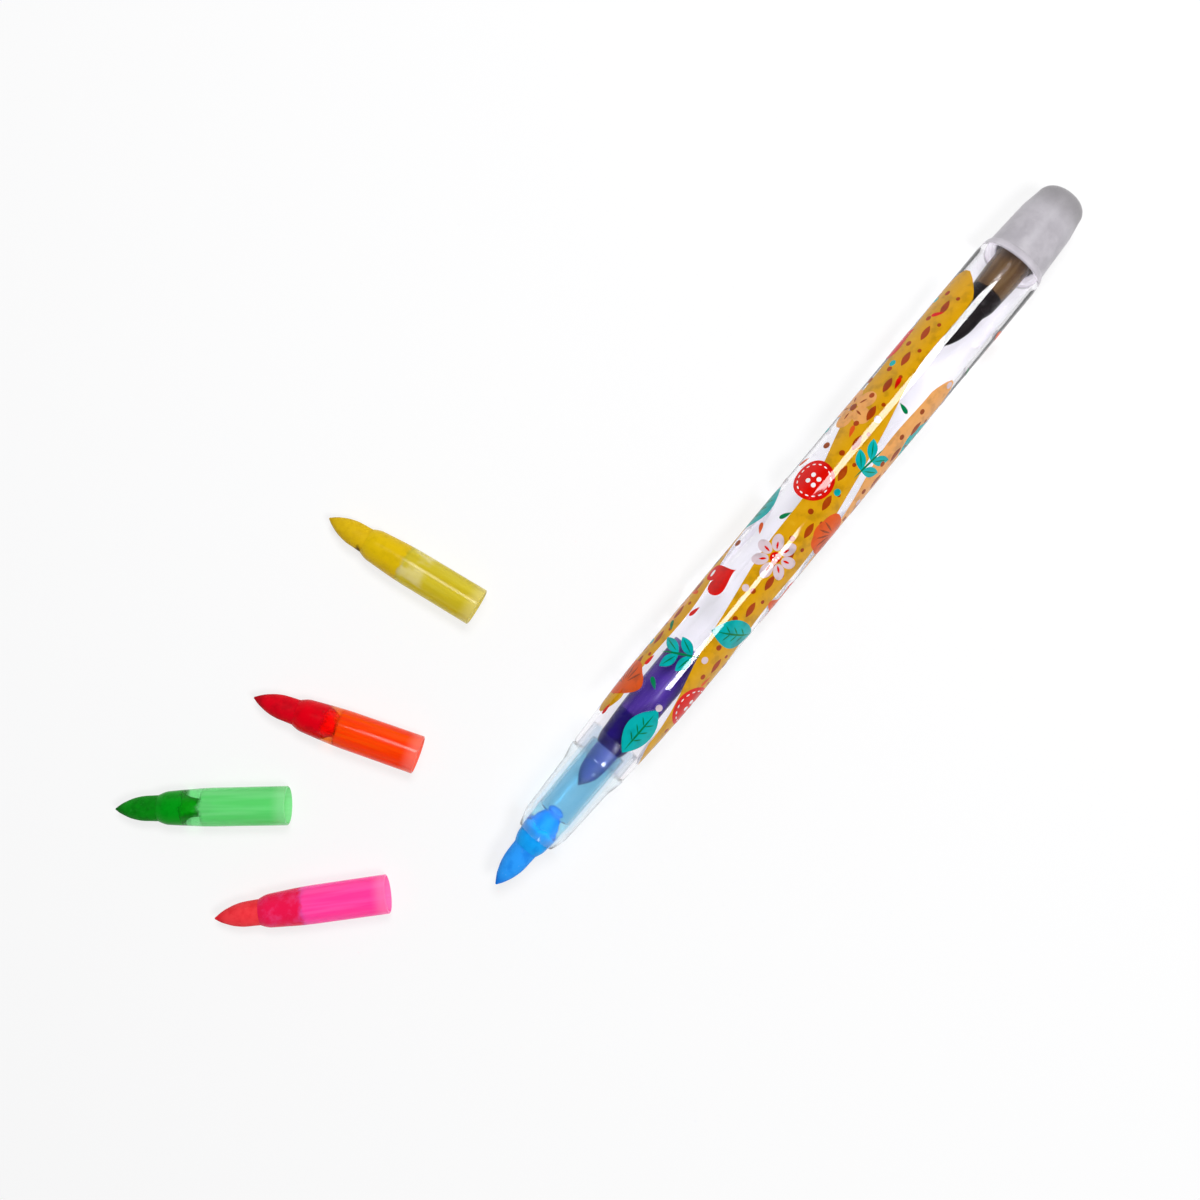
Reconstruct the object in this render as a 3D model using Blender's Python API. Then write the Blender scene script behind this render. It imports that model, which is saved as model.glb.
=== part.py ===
"""Stacking point pencil: a clear barrel with a nose cone and a tail cap, and seven crayon points.

Lengths are metres. The pencil lies along X on the plane Z = 0 with its writing tip at +X, and the origin
is under the middle of its length. A profile is a list of (station, radius), where a station is a distance
back from the front tip.
"""

import math

import bmesh
import bpy

# Crayon, measured back from its tip
CRAYON_EXPOSED = 0.0081
CRAYON_RADIUS = 0.00235
CRAYON_DRAFT = 0.00008
OGIVE_LENGTH = 0.0062
OGIVE_CROWDING = 1.4
TIP_FLAT_RADIUS = 0.0003
ROOT_LENGTH = 0.0038
ROOT_TAPER = 0.0013
PEG_RADIUS = 0.0009
HEAD_RADIUS = 0.0013
HEAD_LENGTH = 0.0008
CORE_GAP = 0.0002

# Holder round the crayon
POINT_LENGTH = 0.0300
PLUG_WALL = 0.0004
COLLAR_LIP_WALL = 0.00012
COLLAR_CHAMFER_LENGTH = 0.0014
WEB_THICKNESS = 0.0022
NECK_TAPER = 0.0054
RIM_WALL = 0.0003
RIM_ROUND = 0.0002
TIP_CLEARANCE = 0.0005

# How the points nest and slide
NEST_DEPTH = 0.0021
NEST_GAP = 0.0003
SOCKET_FIT = 0.00015
SLIDE_FIT = 0.00035
SECOND_POINT_ENTRY = 0.0001

# Nose cone
PROTRUSION = 0.0113
NOSE_LIP_WALL = 0.00012
NOSE_CHAMFER_LENGTH = 0.0018
NOSE_END_WALL = 0.0006
NOSE_FLANK_LENGTH = 0.0098
NOSE_FLANK_WALL = 0.00105
NOSE_FLARE_LENGTH = 0.0041
NOSE_GUIDE_LENGTH = 0.0030
NOSE_RELIEF_LENGTH = 0.0010
NOSE_RELIEF_DEPTH = 0.0003
SPIGOT_LENGTH = 0.0050
SPIGOT_WALL = 0.0007
SPIGOT_FIT = 0.00015

# Barrel
SEAM_GAP = 0.0003
MOUTH_WALL = 0.0006
MOUTH_EDGE_ROUND = 0.0002
SPIGOT_ROOM = 0.0005
GRIP_TAPER_LENGTH = 0.0162
GRIP_FULLNESS = 0.5
BORE_FLARE_DEPTH = 0.00045
BARREL_WALL = 0.0008
TAIL_ROUND_LENGTH = 0.0032
SHOULDER_WALL = 0.0008
FUNNEL_LENGTH = 0.0007
FUNNEL_DEPTH = 0.0007
TAIL_NECK_WALL = 0.00045
TAIL_NECK_LENGTH = 0.0082
LAST_POINT_REACH = 0.0030

# Tail cap
CAP_FIT = 0.00015
CAP_BASE_WALL = 0.0011
CAP_WAIST_WALL = 0.00062
CAP_POCKET_WALL = 0.0006
CAP_END_GAP = 0.0003
CAP_END_THICKNESS = 0.0023
CAP_END_FLAT_RADIUS = 0.0019

# Facets round each kind of piece, and how they are joined and shaded
POINT_SIDES = 20
TUBE_SIDES = 32
WELD_DISTANCE = 1e-7
SHARP_ANGLE = math.radians(35)

# Colours of each point's crayon and holder, from the front of a full stack to its tail
POINT_COLOURS = {
    "blue": ((0.03, 0.26, 0.95), (0.20, 0.52, 0.80)),
    "purple": ((0.03, 0.00, 0.16), (0.12, 0.09, 0.45)),
    "yellow": ((0.75, 0.46, 0.01), (0.58, 0.51, 0.04)),
    "red": ((0.75, 0.00, 0.01), (0.95, 0.09, 0.01)),
    "green": ((0.00, 0.22, 0.01), (0.13, 0.67, 0.23)),
    "pink": ((0.90, 0.05, 0.05), (0.95, 0.07, 0.38)),
    "black": ((0.008, 0.005, 0.005), (0.16, 0.12, 0.09)),
}

# Where the loose points lie: middle of the length, and heading of the tip in degrees from +X
LOOSE_X = {"yellow": 0.0441, "red": 0.0730, "green": 0.0985, "pink": 0.1005}
LOOSE_Y = {"yellow": -0.0474, "red": -0.0382, "green": -0.0471, "pink": -0.0230}
LOOSE_HEADING = {"yellow": -81.4, "red": -69.6, "green": -49.1, "pink": -42.15}

# Radii, from the crayon outwards
CAVITY_RADIUS = CRAYON_RADIUS + CORE_GAP
GATE_RADIUS = PEG_RADIUS + CORE_GAP
PLUG_RADIUS = CAVITY_RADIUS + PLUG_WALL
SOCKET_MOUTH_RADIUS = PLUG_RADIUS + SOCKET_FIT
SOCKET_RADIUS = CRAYON_RADIUS + TIP_CLEARANCE
HOLDER_RADIUS = SOCKET_MOUTH_RADIUS + RIM_WALL
GUIDE_RADIUS = HOLDER_RADIUS + SLIDE_FIT
NOSE_CAVITY_RADIUS = GUIDE_RADIUS + NOSE_RELIEF_DEPTH
SPIGOT_RADIUS = NOSE_CAVITY_RADIUS + SPIGOT_WALL
SPIGOT_SOCKET_RADIUS = SPIGOT_RADIUS + SPIGOT_FIT
MOUTH_RADIUS = SPIGOT_SOCKET_RADIUS + MOUTH_WALL
BORE_RADIUS = SPIGOT_SOCKET_RADIUS + BORE_FLARE_DEPTH
BARREL_RADIUS = BORE_RADIUS + BARREL_WALL
TAIL_NECK_RADIUS = GUIDE_RADIUS + TAIL_NECK_WALL
CAP_SOCKET_RADIUS = TAIL_NECK_RADIUS + CAP_FIT
CAP_BASE_RADIUS = CAP_SOCKET_RADIUS + CAP_BASE_WALL

# Stations in a point
ROOT_END = CRAYON_EXPOSED + ROOT_LENGTH
TAPER_END = ROOT_END + ROOT_TAPER
SOCKET_FLOOR = TAPER_END + WEB_THICKNESS
PLUG_END = CRAYON_EXPOSED + NEST_DEPTH
MOUTH_FLOOR = POINT_LENGTH - NEST_DEPTH - NEST_GAP

# Stations along the pencil
STACK_PITCH = POINT_LENGTH - CRAYON_EXPOSED - NEST_DEPTH
STACK_LENGTH = (len(POINT_COLOURS) - 1) * STACK_PITCH + POINT_LENGTH
SECOND_TIP = POINT_LENGTH - CRAYON_EXPOSED - SECOND_POINT_ENTRY
LAST_TIP = STACK_LENGTH - POINT_LENGTH
CHAMFER_END = PROTRUSION + NOSE_CHAMFER_LENGTH
FLANK_END = CHAMFER_END + NOSE_FLANK_LENGTH
NOSE_END = FLANK_END + NOSE_FLARE_LENGTH
BARREL_START = NOSE_END + SEAM_GAP
SPIGOT_END = NOSE_END + SPIGOT_LENGTH
TAIL_NECK_END = STACK_LENGTH - LAST_POINT_REACH
SHOULDER = TAIL_NECK_END - TAIL_NECK_LENGTH
CAP_START = SHOULDER + SEAM_GAP
CAP_STEP = TAIL_NECK_END + SEAM_GAP
CAP_FLOOR = STACK_LENGTH + CAP_END_GAP
PENCIL_LENGTH = CAP_FLOOR + CAP_END_THICKNESS


def ellipse_arc(centre, radii, start, end, steps):
    """Points on an ellipse round centre (station, radius); 180 degrees is its front, 90 its outside."""
    points = []
    for step in range(steps + 1):
        angle = math.radians(start + (end - start) * step / steps)
        station = centre[0] + radii[0] * math.cos(angle)
        points.append((station, centre[1] + radii[1] * math.sin(angle)))
    return points


def ogive(steps):
    """Tangent ogive of the crayon's tip, from its small flat end to its full radius."""
    full = CRAYON_RADIUS - CRAYON_DRAFT
    rise = full - TIP_FLAT_RADIUS
    sweep = (rise ** 2 + OGIVE_LENGTH ** 2) / (2 * rise)
    points = [(0.0, 0.0)]
    for step in range(steps + 1):
        station = OGIVE_LENGTH * (step / steps) ** OGIVE_CROWDING
        points.append((station, full - sweep + math.sqrt(sweep ** 2 - (OGIVE_LENGTH - station) ** 2)))
    return points


def crayon_profile():
    """Ogive, root, peg through the holder's web, and the head behind it."""
    head_front = SOCKET_FLOOR + CORE_GAP
    return [
        *ogive(6),
        (CRAYON_EXPOSED, CRAYON_RADIUS),
        (ROOT_END - CORE_GAP, CRAYON_RADIUS),
        (TAPER_END - CORE_GAP, PEG_RADIUS),
        (head_front, PEG_RADIUS),
        (head_front, HEAD_RADIUS),
        *ellipse_arc((head_front, 0.0), (HEAD_LENGTH, HEAD_RADIUS), 60, 0, 2),
    ]


def holder_profile():
    """Chamfered plug, tapered neck and sleeve outside; socket, gate hole and crayon cavity inside."""
    rim = POINT_LENGTH - RIM_ROUND
    rim_round = (RIM_ROUND, RIM_ROUND)
    return [
        (CRAYON_EXPOSED, CAVITY_RADIUS),
        (CRAYON_EXPOSED, CAVITY_RADIUS + COLLAR_LIP_WALL),
        (CRAYON_EXPOSED + COLLAR_CHAMFER_LENGTH, PLUG_RADIUS),
        (PLUG_END, PLUG_RADIUS),
        (PLUG_END + NECK_TAPER, HOLDER_RADIUS),
        *ellipse_arc((rim, HOLDER_RADIUS - RIM_ROUND), rim_round, 90, 0, 2),
        (POINT_LENGTH, SOCKET_MOUTH_RADIUS),
        (MOUTH_FLOOR, SOCKET_MOUTH_RADIUS),
        (MOUTH_FLOOR, SOCKET_RADIUS),
        (SOCKET_FLOOR, SOCKET_RADIUS),
        (SOCKET_FLOOR, GATE_RADIUS),
        (TAPER_END, GATE_RADIUS),
        (ROOT_END, CAVITY_RADIUS),
    ]


def nose_profile():
    """Chamfered lip, slim flank, flare up to the barrel and spigot into it; guide land and cavity inside."""
    end_radius = GUIDE_RADIUS + NOSE_END_WALL
    flank_radius = GUIDE_RADIUS + NOSE_FLANK_WALL
    flare = []
    for step in range(1, 6):
        share = step / 5
        swell = (1 - math.cos(math.pi * share)) / 2
        station = FLANK_END + NOSE_FLARE_LENGTH * share
        flare.append((station, flank_radius + (MOUTH_RADIUS - flank_radius) * swell))
    guide_end = PROTRUSION + NOSE_GUIDE_LENGTH
    return [
        (PROTRUSION, GUIDE_RADIUS),
        (PROTRUSION, GUIDE_RADIUS + NOSE_LIP_WALL),
        (CHAMFER_END, end_radius),
        (FLANK_END, flank_radius),
        *flare,
        (NOSE_END, SPIGOT_RADIUS),
        (SPIGOT_END, SPIGOT_RADIUS),
        (SPIGOT_END, NOSE_CAVITY_RADIUS),
        (guide_end + NOSE_RELIEF_LENGTH, NOSE_CAVITY_RADIUS),
        (guide_end, GUIDE_RADIUS),
    ]


def barrel_profile():
    """Grip taper, straight body, rounded shoulder and neck outside; bore and funnel inside."""
    grip_start = BARREL_START + MOUTH_EDGE_ROUND
    grip_end = grip_start + GRIP_TAPER_LENGTH
    edge_round = (MOUTH_EDGE_ROUND, MOUTH_EDGE_ROUND)
    grip = []
    for step in range(1, 7):
        share = step / 6
        swell = share * (1 + GRIP_FULLNESS - GRIP_FULLNESS * share)
        station = grip_start + GRIP_TAPER_LENGTH * share
        grip.append((station, MOUTH_RADIUS + (BARREL_RADIUS - MOUTH_RADIUS) * swell))
    round_start = SHOULDER - TAIL_ROUND_LENGTH
    round_depth = BARREL_RADIUS - CAP_BASE_RADIUS
    inner_round = (TAIL_ROUND_LENGTH - SHOULDER_WALL, round_depth)
    shoulder_inside = SHOULDER - SHOULDER_WALL
    return [
        (BARREL_START, SPIGOT_SOCKET_RADIUS),
        *ellipse_arc((grip_start, MOUTH_RADIUS - MOUTH_EDGE_ROUND), edge_round, 180, 90, 2),
        *grip,
        *ellipse_arc((round_start, CAP_BASE_RADIUS), (TAIL_ROUND_LENGTH, round_depth), 90, 0, 4),
        (SHOULDER, TAIL_NECK_RADIUS),
        (TAIL_NECK_END, TAIL_NECK_RADIUS),
        (TAIL_NECK_END, GUIDE_RADIUS),
        (shoulder_inside + FUNNEL_LENGTH, GUIDE_RADIUS),
        (shoulder_inside, GUIDE_RADIUS + FUNNEL_DEPTH),
        *ellipse_arc((round_start, BORE_RADIUS - round_depth), inner_round, 0, 90, 4),
        (grip_end, BORE_RADIUS),
        (SPIGOT_END + SPIGOT_ROOM, SPIGOT_SOCKET_RADIUS),
    ]


def cap_profile():
    """Pocket for the last point and socket for the neck inside; two tapers and a round end outside."""
    pocket_outside = GUIDE_RADIUS + CAP_POCKET_WALL
    end_round = (CAP_END_THICKNESS, pocket_outside - CAP_END_FLAT_RADIUS)
    return [
        (CAP_FLOOR, 0.0),
        (CAP_FLOOR, GUIDE_RADIUS),
        (CAP_STEP, GUIDE_RADIUS),
        (CAP_STEP, CAP_SOCKET_RADIUS),
        (CAP_START, CAP_SOCKET_RADIUS),
        (CAP_START, CAP_BASE_RADIUS),
        (TAIL_NECK_END, CAP_SOCKET_RADIUS + CAP_WAIST_WALL),
        *ellipse_arc((CAP_FLOOR, CAP_END_FLAT_RADIUS), end_round, 90, 0, 6),
        (PENCIL_LENGTH, 0.0),
    ]


def plastic(name, colour, roughness, alpha=1.0):
    """Principled material in the piece's own colour."""
    material = bpy.data.materials.new(name)
    material.use_nodes = True
    shader = material.node_tree.nodes["Principled BSDF"]
    shader.inputs["Base Color"].default_value = (*colour, 1.0)
    shader.inputs["Roughness"].default_value = roughness
    shader.inputs["Metallic"].default_value = 0.0
    shader.inputs["Alpha"].default_value = alpha
    return material


def turned_piece(name, profile, sides, material, parent):
    """Spin a profile about the X axis, with a flat facet underneath. A ring's profile is a closed loop."""
    shape = bmesh.new()
    first = math.pi / sides
    verts = []
    for station, radius in profile:
        verts.append(shape.verts.new((-station, radius * math.sin(first), -radius * math.cos(first))))
    edges = [shape.edges.new(pair) for pair in zip(verts, verts[1:])]
    if profile[0][1] > 0.0:
        edges.append(shape.edges.new((verts[-1], verts[0])))
    bmesh.ops.spin(
        shape,
        geom=verts + edges,
        cent=(0.0, 0.0, 0.0),
        axis=(1.0, 0.0, 0.0),
        angle=math.tau,
        steps=sides,
        use_merge=True,
    )
    bmesh.ops.remove_doubles(shape, verts=shape.verts, dist=WELD_DISTANCE)
    bmesh.ops.recalc_face_normals(shape, faces=shape.faces)
    mesh = bpy.data.meshes.new(name)
    shape.to_mesh(mesh)
    shape.free()
    mesh.materials.append(material)
    mesh.shade_smooth()
    mesh.set_sharp_from_angle(angle=SHARP_ANGLE)
    piece = bpy.data.objects.new(name, mesh)
    piece.parent = parent
    bpy.context.collection.objects.link(piece)
    return piece


def axis_empty(name, location, heading=0.0, parent=None):
    """Empty on a piece's axis, at its front, turned to its heading."""
    empty = bpy.data.objects.new(name, None)
    empty.location = location
    empty.rotation_euler = (0.0, 0.0, math.radians(heading))
    empty.parent = parent
    bpy.context.collection.objects.link(empty)
    return empty


def add_point(colour, tip):
    """Holder and crayon of one point, in their two colours, on the empty at its tip."""
    crayon_colour, holder_colour = POINT_COLOURS[colour]
    wax = plastic(colour + "_wax", crayon_colour, 0.55)
    sleeve = plastic(colour + "_sleeve", holder_colour, 0.3, 0.6)
    turned_piece(colour + "_holder", holder_profile(), POINT_SIDES, sleeve, tip)
    turned_piece(colour + "_crayon", crayon_profile(), POINT_SIDES, wax, tip)


def main():
    for leftover in list(bpy.data.objects):
        bpy.data.objects.remove(leftover)

    axis_height = BARREL_RADIUS * math.cos(math.pi / TUBE_SIDES)
    pencil = axis_empty("pencil_axis", (PENCIL_LENGTH / 2, 0.0, axis_height))
    clear = plastic("clear_plastic", (0.90, 0.90, 0.95), 0.05, 0.25)
    frosted = plastic("frosted_plastic", (0.60, 0.58, 0.60), 0.45, 0.8)
    turned_piece("barrel", barrel_profile(), TUBE_SIDES, clear, pencil)
    turned_piece("nose_cone", nose_profile(), TUBE_SIDES, clear, pencil)
    turned_piece("tail_cap", cap_profile(), TUBE_SIDES, frosted, pencil)

    stacked_tips = {"blue": 0.0, "purple": SECOND_TIP, "black": LAST_TIP}
    for colour, station in stacked_tips.items():
        add_point(colour, axis_empty(colour + "_point", (-station, 0.0, 0.0), parent=pencil))

    lying_height = HOLDER_RADIUS * math.cos(math.pi / POINT_SIDES)
    for colour, heading in LOOSE_HEADING.items():
        reach = POINT_LENGTH / 2
        tip_x = LOOSE_X[colour] + reach * math.cos(math.radians(heading))
        tip_y = LOOSE_Y[colour] + reach * math.sin(math.radians(heading))
        add_point(colour, axis_empty(colour + "_point", (tip_x, tip_y, lying_height), heading))


main()
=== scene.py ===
"""Looks of the stacking point pencil: clear barrel with its print, nose cone, frosted cap and crayon points.

Lengths on the object are millimetres, and MM turns them into metres where a mesh is made. Lengths in the
room are metres. A station is a distance back from the front tip of the pencil, or of a point, and a profile
is a list of (station, radius) that is spun round the piece's axis.
"""

import math
from typing import NamedTuple

import bmesh
import bpy
from mathutils import Matrix, Vector, noise


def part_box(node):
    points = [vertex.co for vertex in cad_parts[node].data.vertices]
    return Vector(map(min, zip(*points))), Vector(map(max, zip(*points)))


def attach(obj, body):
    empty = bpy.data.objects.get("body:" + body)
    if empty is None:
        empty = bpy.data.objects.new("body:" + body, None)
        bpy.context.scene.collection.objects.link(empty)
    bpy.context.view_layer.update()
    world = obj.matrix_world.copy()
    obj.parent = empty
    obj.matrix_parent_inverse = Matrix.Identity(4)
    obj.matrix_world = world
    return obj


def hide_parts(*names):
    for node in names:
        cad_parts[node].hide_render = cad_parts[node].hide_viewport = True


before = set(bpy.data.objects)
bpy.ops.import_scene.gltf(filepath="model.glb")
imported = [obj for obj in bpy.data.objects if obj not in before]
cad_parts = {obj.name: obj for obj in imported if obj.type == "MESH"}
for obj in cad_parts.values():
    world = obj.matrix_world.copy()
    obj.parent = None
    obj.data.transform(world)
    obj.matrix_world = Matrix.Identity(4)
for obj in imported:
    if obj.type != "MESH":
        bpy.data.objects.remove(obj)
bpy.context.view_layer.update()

MM = 0.001

# The solids are faceted and lie on a flat, so a round piece on the same floor is smaller by this much
TUBE_SEAT = math.cos(math.pi / 32)
POINT_SEAT = math.cos(math.pi / 20)

# Sides of the turned pieces, the angle from which an edge is sharp, and the metres within which corners weld
TUBE_SIDES = 128
HOLDER_SIDES = 96
CRAYON_SIDES = 64
SHARP_ANGLE = math.radians(32)
WELD = 1e-7

# Guides that a point's sleeve slides in, and the round on small edges
GUIDE_RADIUS = 3.75
EDGE_ROUND = 0.2

# Nose cone: lip, straight flank, flare up to the seam, spigot in the barrel, cavity and guide
NOSE_LIP = [(10.6, 3.42), (10.6, 3.46), (10.7, 3.54), (12.2, 4.05), (13.4, 4.37)]
FLANK_END = 22.9
FLANK_RADIUS = 4.8
FLARE_LENGTH = 4.1
FLARE_RISE = 0.65
FLARE_STEPS = 12
SPIGOT_END = 32.0
SPIGOT_RADIUS = 4.75
CAVITY_START = 15.3
CAVITY_RADIUS = 4.05
NOSE_GUIDE_END = 14.3

# Barrel: grip that swells from the mouth, shoulder, neck under the cap, bore with its end wall and funnel.
# The tube is thinner by the room for the ink
INK_ROOM = 0.05
BARREL_START = 27.3
GRIP_START = 27.5
GRIP_LENGTH = 16.2
GRIP_STEPS = 16
MOUTH_RADIUS = 5.5
BARREL_RADIUS = 6.15
ROUND_START = 134.4
SHOULDER = 137.6
SHOULDER_RADIUS = 5.45
NECK_RADIUS = 4.2
NECK_END = 145.8
FUNNEL_END = 137.5
FUNNEL_RADIUS = 4.45
END_WALL = 136.8
BORE_RADIUS = 5.35
SPIGOT_SOCKET_END = 32.5
SPIGOT_SOCKET_RADIUS = 4.9

# Cap: mouth over the neck, taper, crown with a flat end, and the pocket that stops the last point
CAP_START = 137.62
CAP_TAPER_END = 145.8
CAP_TAPER_RADIUS = 4.97
CAP_SOCKET_END = 146.1
CAP_SOCKET_RADIUS = 4.35
CAP_FLOOR = 149.1
CROWN_RADIUS = 4.35
CAP_END = 151.4
CAP_FLAT_RADIUS = 1.9

# Holder: collar that widens to the sleeve, socket for the next point and its wider mouth
COLLAR = [(8.0, 0.0), (8.0, 2.38), (8.5, 2.6), (9.0, 2.79), (9.5, 2.9), (10.2, 2.955)]
COLLAR += [(12.2, 3.1), (13.6, 3.2), (15.3, 3.3), (17.0, 3.35)]
SLEEVE_END = 30.0
SLEEVE_RADIUS = 3.4
SLEEVE_MOUTH = 27.6
SLEEVE_MOUTH_RADIUS = 3.1
SOCKET_RADIUS = 2.85
SOCKET_FLOOR = 15.4
SOCKET_CHAMFER = 0.3

# Crayon: ogive, groove behind it, root in the holder, finger through the web and the blob behind that. The
# wax has lumps, which deepen from the collar back
OGIVE_LENGTH = 6.2
OGIVE_RADIUS = 2.2
OGIVE_STEPS = 14
TIP_RADIUS = 0.12
GROOVE = [(7.2, 2.24), (8.0, 2.28), (8.4, 2.4)]
ROOT_START = 9.2
ROOT_RADIUS = 2.55
FINGER_END = 15.2
BLOB_START = 15.5
BLOB_MIDDLE = 15.9
BLOB_LENGTH = 0.8
LUMPS_START = 8.1
LUMPS_LENGTH = 2.0
LUMP_DEPTH = 0.16
LUMP_SIZE = 1.1

# Stations between which looks change: the nose's lip ends, the barrel turns ground under the cap, the cap's
# thick wall starts and ends, painted shade darkens its end, a sleeve pales at its rim and under a painted
# highlight, and the painted shade on a crayon's tip ends
LIP_EDGE = (11.9, 12.4)
GROUND_EDGE = (136.0, 136.4)
THICK_START = (143.4, 145.6)
THICK_END = (146.4, 148.0)
PAINTED_END_SHADE = (144.2, 150.9)
RIM_EDGE = (27.2, 29.6)
HIGHLIGHT_START = (15.8, 16.6)
HIGHLIGHT_END = (20.0, 21.6)
TIP_SHADE_EDGE = (0.2, 2.6)

# Plastics' refractive indices, and the colour and half width of a smudge on the wax
POLYSTYRENE_INDEX = 1.52
POLYPROPYLENE_INDEX = 1.49
SMUDGE_COLOUR = (0.05, 0.022, 0.0)
SMUDGE_REACH = 0.55

# Print on the barrel, drawn flat: its middle is the top, the underside is left clear, and so is a window
# over the last point
PRINT_START = 31.0
PRINT_END = 130.0
ROUND = math.tau * BARREL_RADIUS
STRIP = 0.3
GRIP_CUTS = 8
CUT_ROOM = 1e-5
INK_LIFT = 0.006
INK_FILM = 0.003
INK_LAYER = 0.0045
PRINT_HALF = 11.0
BARE_FROM = 108.0
BARE_HALF = 5.0

# Marks of the print: steps along and round the barrel, turn from one to the next, and the room of each
GOLDEN_SHARE = 0.381966
MARK_TURN = 2.1
MOTIF_TRIES = 33
MOTIF_STEP = 2.8
MOTIF_ROOM = 2.9
FILLER_TRIES = 180
FILLER_STEP = 0.52
FILLER_ROOM = 1.7
LOZENGE_STEP = 5.4

# Ink: colour, and colour where it is thin, from the lowest layer up
INKS = {
    "amber": ((0.655, 0.325, 0.003), (0.76, 0.44, 0.02)),
    "peach": ((0.79, 0.36, 0.10), (0.87, 0.48, 0.20)),
    "rust": ((0.37, 0.045, 0.001), (0.48, 0.11, 0.006)),
    "orange": ((0.70, 0.085, 0.002), (0.80, 0.16, 0.01)),
    "teal": ((0.0, 0.40, 0.40), (0.01, 0.48, 0.46)),
    "blossom": ((0.66, 0.53, 0.58), (0.78, 0.66, 0.70)),
    "red": ((0.68, 0.003, 0.0), (0.78, 0.02, 0.01)),
    "leaf_green": ((0.0, 0.19, 0.06), (0.01, 0.29, 0.10)),
    "brown": ((0.30, 0.05, 0.002), (0.42, 0.11, 0.01)),
    "white": ((0.88, 0.86, 0.87), (0.95, 0.93, 0.93)),
}

# Room: tones of the backdrop at the horizon and above and the heights between which they change, how much
# paler it looks than it lights, the floor's share of white, half its width and its drop under the set
HORIZON = (0.55, 0.55, 0.56)
OVERHEAD = (0.06, 0.06, 0.065)
TONE_EDGE = (0.25, 0.75)
SEEN_STRENGTH = 1.45
FLOOR_SHARE = 0.72
FLOOR_HALF = 3.0
FLOOR_DROP = 0.02 * MM
LAMP_HEIGHT = 0.5

# Camera: the picture's right and up, place, height over the pencil's axis and width seen there. Its sensor
# is in millimetres
PICTURE_RIGHT = Vector((-0.6394, 0.7689, 0.0))
PICTURE_UP = Vector((-0.7689, -0.6394, 0.0))
CAMERA_PLACE = (0.0274, -0.0172)
CAMERA_ABOVE = 0.2373
WIDTH_SEEN = 0.2034
NEAREST_SEEN = 0.01
SENSOR_WIDTH = 36.0


class Wax(NamedTuple):
    """Body, dark and pale colour of a crayon, and the place of a smudge on it."""

    body: tuple
    dark: tuple
    pale: tuple
    smudge: tuple = None


class Holder(NamedTuple):
    """Tints of a holder's front and sleeve, how milky the sleeve is, glow of its dye and refractive index.

    The glow is partly the dye's fluorescence and partly painted light for light lost inside the plastic. Web
    is the station where the sleeve starts. The last field is the strength of a painted highlight just behind
    the web.
    """

    front: tuple
    sleeve: tuple
    milk: float
    glow: float
    index: float
    web: float = 15.3
    block: float = 0.0


class Skin(NamedTuple):
    """Wax against a holder's skin: station of its end, how ragged that is, its colour and its mottles."""

    end: float
    ragged: float
    body: tuple
    mottled: tuple


class Root(NamedTuple):
    """End of a crayon's root, radii of the finger and the blob behind it, and how far the tip is worn."""

    end: float
    finger: float
    blob: float
    worn: float = 0.0


class Point(NamedTuple):
    """Body that a point rides on, and the looks and shape of its two pieces."""

    body: str
    wax: Wax
    holder: Holder
    skin: Skin
    root: Root


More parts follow.
